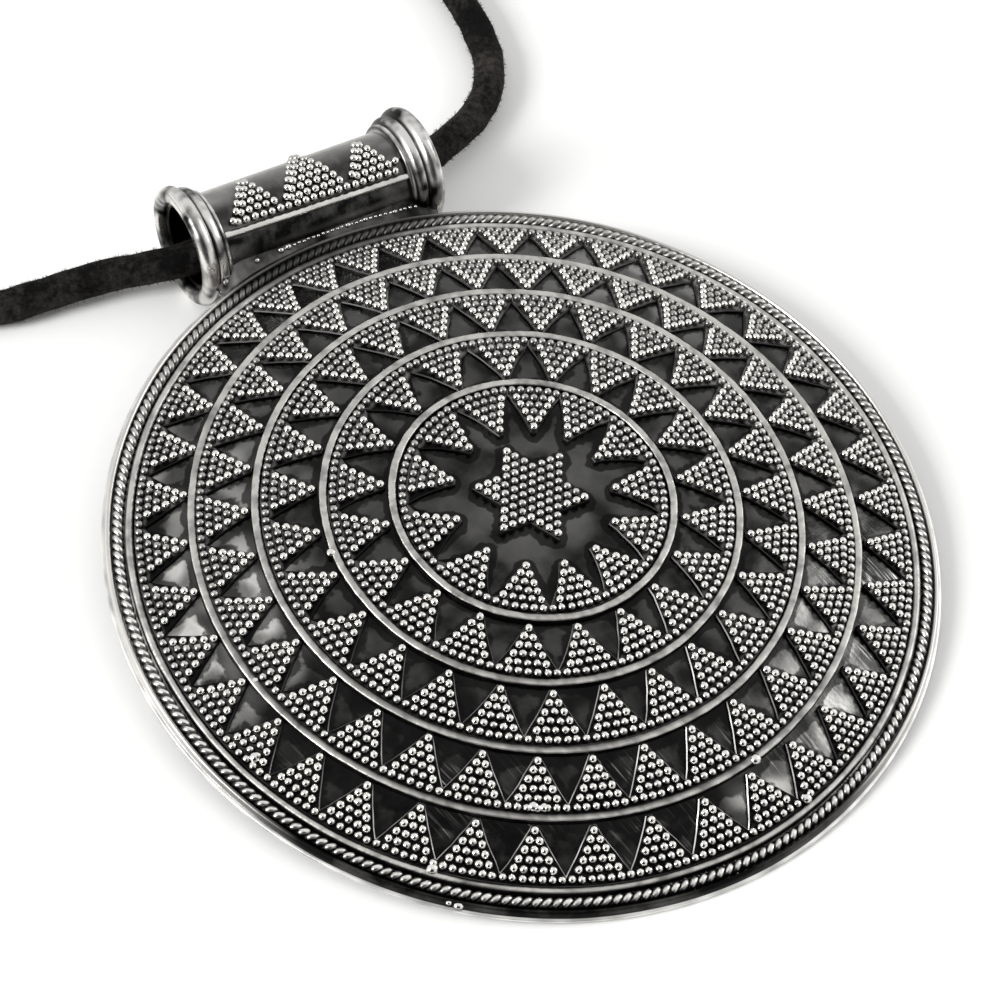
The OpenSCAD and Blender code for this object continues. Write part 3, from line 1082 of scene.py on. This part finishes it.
def buildBailWire():
    wire = bail["wire"]
    bm = bmesh.new()
    bmesh.ops.create_cone(
        bm, cap_ends=True, segments=wire["sides"], radius1=wire["radius"], radius2=wire["radius"],
        depth=wire["length"],
    )
    ends = [e for e in bm.edges if abs(e.verts[0].co.z - e.verts[1].co.z) < merge]
    bmesh.ops.bevel(
        bm, geom=ends, offset=wire["round"], segments=3, profile=0.5, affect="EDGES", material=-1,
    )
    long = [e for e in bm.edges if e.calc_length() > wire["length"] / 2]
    bmesh.ops.subdivide_edges(bm, edges=long, cuts=wire["cuts"])
    turn = (
        Matrix.Rotation(math.radians(-wire["angle"]), 4, "X")
        @ Matrix.Translation((wire["aside"], -bail["tube"], 0))
        @ Matrix.Rotation(math.radians(90 + wire["skew"]), 4, "Y")
    )
    bmesh.ops.transform(bm, matrix=turn, verts=bm.verts)
    roughen(bm, *wire["sway"], seed=40)
    paint(bm, lambda p: cloudy(p, *wire["rubbed"]))
    finishSilver("bailWire", bm, "grain", toBail)


# The solder that joins the tube to the border: it rises to the tube and follows the rim's arc.
def buildSeat():
    seat = bail["seat"]
    low, high = Vector(seat["low"]), Vector(seat["high"])
    size = high - low
    bm = bmesh.new()
    block = Matrix.Translation((low + high) / 2) @ Matrix.Diagonal((*size, 1))
    bmesh.ops.create_cube(bm, size=1, matrix=block)
    bmesh.ops.bevel(
        bm, geom=bm.edges[:], offset=seat["round"], segments=2, profile=0.5, affect="EDGES", material=-1,
    )
    long = [e for e in bm.edges if e.calc_length() > size.x / 2]
    bmesh.ops.subdivide_edges(bm, edges=long, cuts=seat["cuts"])
    near, far, drop = seat["taper"]
    for v in bm.verts:
        share = (v.co.y - low.y) / size.y
        v.co.y -= seat["arc"] * (v.co.x - seat["crown"]) ** 2 * (1 - share)
        if v.co.z > (low.z + high.z) / 2:
            v.co.z += seat["rise"] * share ** 2 - drop * ease(abs(v.co.x), near, far)
    roughen(bm, *seat["melt"], seed=50)

    # Soot covers it, and its left end is rubbed in patches.
    def rubbedSeat(p):
        first, last, strength = seat["leftEnd"]
        patches = strength * ease(-p.x, first, last) * cloudy(p, *seat["leftClouds"])
        return cloudy(p, *seat["rubbed"]) + patches

    paint(bm, rubbedSeat)
    finishSilver("bailSeat", bm, "bail")


# Small grains that the solder flooded, in a line along the seam: an even row, then larger ones.
def buildSeatGrains():
    seat = bail["seat"]
    first, radius, step, count = seat["row"]
    row = [(first + k * step, radius) for k in range(count)]
    share = seat["line"]
    up = Vector(seat["up"]).normalized()
    spots = []
    for x, radius in row + seat["larger"]:
        y = seat["low"][1] + share * (seat["high"][1] - seat["low"][1])
        y -= seat["arc"] * (x - seat["crown"]) ** 2 * (1 - share)
        z = seat["high"][2] + seat["rise"] * share ** 2 + seat["above"]
        spots.append(strewn(Vector((x, y, z)), up, radius))
    castGrains("grainsSeat", spots, shine=lambda p: seat["shine"])


# Triangles of grains on the tube, right-angled at the left: place along it of the first row's
# first grain, azimuth of that row round the tube, and grains in it. A closer column of grains
# stands along the left edge of each.
bailGrains = {
    "pitch": 0.81, "above": 0.3,
    "base": {"first": -7.97, "count": 20, "pitch": 0.82, "azimuth": (61.3, 55.6)},
    "triangles": [(-7.4, 70, 5), (-2.56, 67, 7), (3.95, 65.5, 5)],
    "lean": 0.46, "rise": 9.2, "edge": (-0.38, 2.8),
    "grain": 0.365, "rubbed": (-0.15, 0.15), "fade": (-0.5, 2.5, 0.5),
    "single": [(-8.35, 63.6), (7.98, 66)],
}


def grainOnBail(x, azimuth):
    up = Vector((0, -math.cos(math.radians(azimuth)), math.sin(math.radians(azimuth))))
    along = Vector((x - bail["middle"][0], 0, 0))
    return strewn(along + up * (bail["tube"] + bailGrains["above"]), up, bailGrains["grain"])


def buildBailGrains():
    base = bailGrains["base"]
    spots = []
    for k in range(base["count"]):
        share = k / (base["count"] - 1)
        azimuth = base["azimuth"][0] + (base["azimuth"][1] - base["azimuth"][0]) * share
        spots.append(grainOnBail(base["first"] + k * base["pitch"], azimuth))
    aside, higher = bailGrains["edge"]
    for first, azimuth, count in bailGrains["triangles"]:
        for row in range(count):
            left, here = first + row * bailGrains["lean"], azimuth + row * bailGrains["rise"]
            spots.append(grainOnBail(left + aside, here + higher))
            spots += [grainOnBail(left + k * bailGrains["pitch"], here) for k in range(count - row)]
    spots += [grainOnBail(x, azimuth) for x, azimuth in bailGrains["single"]]
    low, high, lost = bailGrains["fade"]
    castGrains("grainsBail", spots, toBail, bailGrains["rubbed"], lambda p: 1 - lost * ease(p.y, low, high))


# Solder that ran, and stray grains: place on the disc, radius and flatness.
solder = [
    ((-22.25, -26.5, 0.75), 0.42, 0.6), ((-22.85, -26, 0.85), 0.25, 0.6),
    ((-30.17, -8.84, 1.35), 0.5, 0.9), ((-17.38, 2.96, 5.15), 0.4, 0.5),
    ((-27.46, -3.55, 2.75), 0.4, 0.5), ((-10.47, 34.32, 1.35), 0.35, 0.9),
    ((-10.72, 33.82, 1.2), 0.32, 0.9), ((-13.81, -22.86, 2.95), 0.5, 0.8),
    ((-13.09, -23.31, 2.92), 0.46, 0.8), ((4.0, -27.28, 2.75), 0.5, 0.8),
    ((6.43, -31.52, 1.25), 0.45, 0.8), ((-22.67, -23.15, 1.15), 0.5, 0.8),
]


def buildSolder():
    up = Vector((0, 0, 1))
    spots = [(Vector(place), up, radius, flat, True) for place, radius, flat in solder]
    castGrains("solderSpots", spots)


buildRim()
print("rim made")
buildRingWires()
buildPlainWire()
buildRope()
print("wires made")
buildGrains()
buildStarGrains()
print("grains laid")
buildSawSheets()
buildStarSheet()
print("sheets made")
buildPlate()
print("plate made")
buildBailTube()
buildBailWire()
buildSeat()
buildSeatGrains()
buildBailGrains()
buildSolder()
print("bail made")


# A white table, and soft light from all round but the front, where the studio is dark from the
# table up. A strong softbox stands at the left and a weak one at the right. Metres here.
studio = {
    "floor": "efefed",
    "size": 3,
    "rough": 0.9,
    "glow": 0.05,
    "sky": 0.85,
    "dark": 0.02,
    "darkTowards": (-0.532, -0.683, 0.5),
    "darkFrom": (0.62, 0.91),
    "lights": [
        ("leftSoftbox", (-0.65, 0.05, 0.42), 0.3, 6),
        ("rightSoftbox", (0.65, -0.10, 0.40), 0.3, 1),
    ],
}


def buildFloor():
    material, tree, shader, place = newMaterial("mattWhiteBoard")
    white = hexColour(studio["floor"])
    fillInputs(tree, shader, {
        "Base Color": white, "Emission Color": white, "Emission Strength": studio["glow"],
        "Roughness": studio["rough"],
    })
    bm = bmesh.new()
    bmesh.ops.create_grid(bm, x_segments=1, y_segments=1, size=studio["size"])
    mesh = bpy.data.meshes.new("floor")
    bm.to_mesh(mesh)
    bm.free()
    mesh.materials.append(material)
    addObject("floor", mesh)


def buildLight():
    scene = bpy.context.scene
    scene.view_settings.view_transform = "Standard"
    scene.world = bpy.data.worlds.new("studio")
    scene.world.use_nodes = True
    tree = scene.world.node_tree
    towards = addNode(tree, "TexCoord", {}).outputs["Generated"]
    ahead = addNode(tree, "VectorMath", {0: towards, 1: studio["darkTowards"]}, operation="DOT_PRODUCT")
    low, high = studio["darkFrom"]
    shade = addNode(tree, "MapRange", {
        "Value": ahead.outputs["Value"], "From Min": low, "From Max": high, "To Min": studio["sky"],
        "To Max": studio["dark"],
    }, interpolation_type="SMOOTHSTEP")
    fillInputs(tree, tree.nodes["Background"], {"Strength": shade, "Color": (1, 1, 1, 1)})
    for name, place, size, power in studio["lights"]:
        data = bpy.data.lights.new(name, "AREA")
        data.size = size
        data.energy = power
        addObject(name, data).matrix_world = Matrix.Translation(place) @ facing(place)


buildFloor()
buildLight()
print("table and light set")
